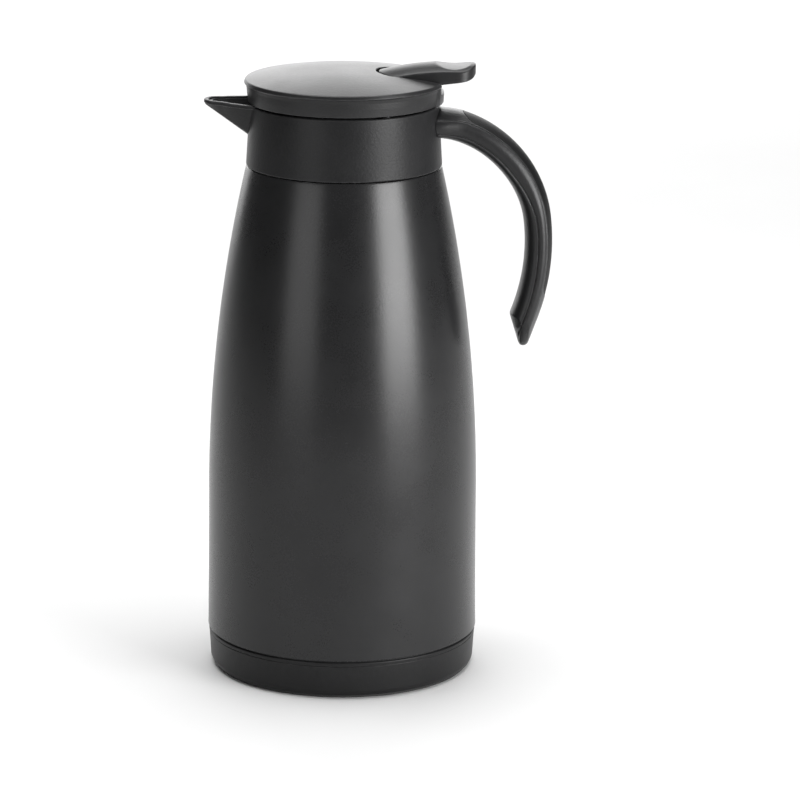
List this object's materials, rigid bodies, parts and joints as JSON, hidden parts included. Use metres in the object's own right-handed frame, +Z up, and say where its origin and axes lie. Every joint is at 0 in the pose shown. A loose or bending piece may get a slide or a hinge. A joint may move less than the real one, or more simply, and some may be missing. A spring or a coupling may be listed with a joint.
{
  "type": "thermal carafe",
  "caption": "Tall black vacuum carafe with a tapering round body, a collar with an open pouring spout, a hook handle and a domed screw lid with a thumb lever that opens a valve.",
  "frame": {"origin": "on the body axis at the ground, the centre of the foot ring's lower face", "axes": "+Z up along the body axis, +X towards the handle, -X towards the spout, the XZ plane is the plane of symmetry"},
  "size_m": [0.164, 0.1292, 0.2929],
  "materials": {
    "black_paint": "satin black paint with a fine grain",
    "black_plastic": "matte moulded",
    "satin_plastic": "satin moulded",
    "inlay_plastic": "soft matte",
    "steel": "brushed",
    "silicone": "soft translucent grey",
    "foot_rubber": "matte",
    "solder_glass": "fused bead",
    "getter_metal": "sintered"
  },
  "bodies": {
    "carafe": {"foot_ring": "foot_rubber", "base_cup": "black_plastic", "outer_shell": "black_paint", "inner_flask": "steel", "shell_bottom": "steel", "vacuum_plug": "solder_glass", "getter": "getter_metal", "neck_collar": "black_plastic", "neck_gasket": "silicone", "thread_sleeve": "black_plastic", "handle_shell": "black_plastic", "handle_inner": "black_plastic", "handle_inlay": "inlay_plastic", "handle_screws": "steel"},
    "lid_seal": {"stopper_gasket": "silicone"},
    "lid": {"lid_cover": "satin_plastic", "stopper_body": "black_plastic", "guide_plate": "black_plastic", "stem_seal": "silicone", "lid_screws": "steel", "lever_pin": "steel", "valve_spring": "steel"},
    "lever": {"lever": "satin_plastic"},
    "valve": {"valve_stem": "black_plastic", "valve_seal": "silicone", "link_pin": "steel"}
  },
  "joints": [
    {"name": "lid_lift", "type": "slide", "parent": "carafe", "child": "lid_seal", "axis": [0, 0, 1], "range_m": [0, 0.042]},
    {"name": "lid_turn", "type": "hinge", "parent": "lid_seal", "child": "lid", "pos_m": [0, 0, 0.26], "axis": [0, 0, 1], "range_deg": [0, 720]},
    {"name": "lever_press", "type": "hinge", "parent": "lid", "child": "lever", "pos_m": [0.024, 0, 0.2815], "axis": [0, 1, 0], "range_deg": [0, 9], "stiffness_Nm_per_rad": 0.35, "springref_deg": -8.02},
    {"name": "valve_lift", "type": "slide", "parent": "lid", "child": "valve", "axis": [0, 0, 1], "range_m": [0, 0.00377], "deforming": ["valve_spring"]}
  ],
  "couplings": [
    {"joint": "lid_turn", "follows": "lid_lift", "rad_per_m": 299.2},
    {"joint": "lever_press", "follows": "valve_lift", "rad_per_m": 41.667}
  ]
}
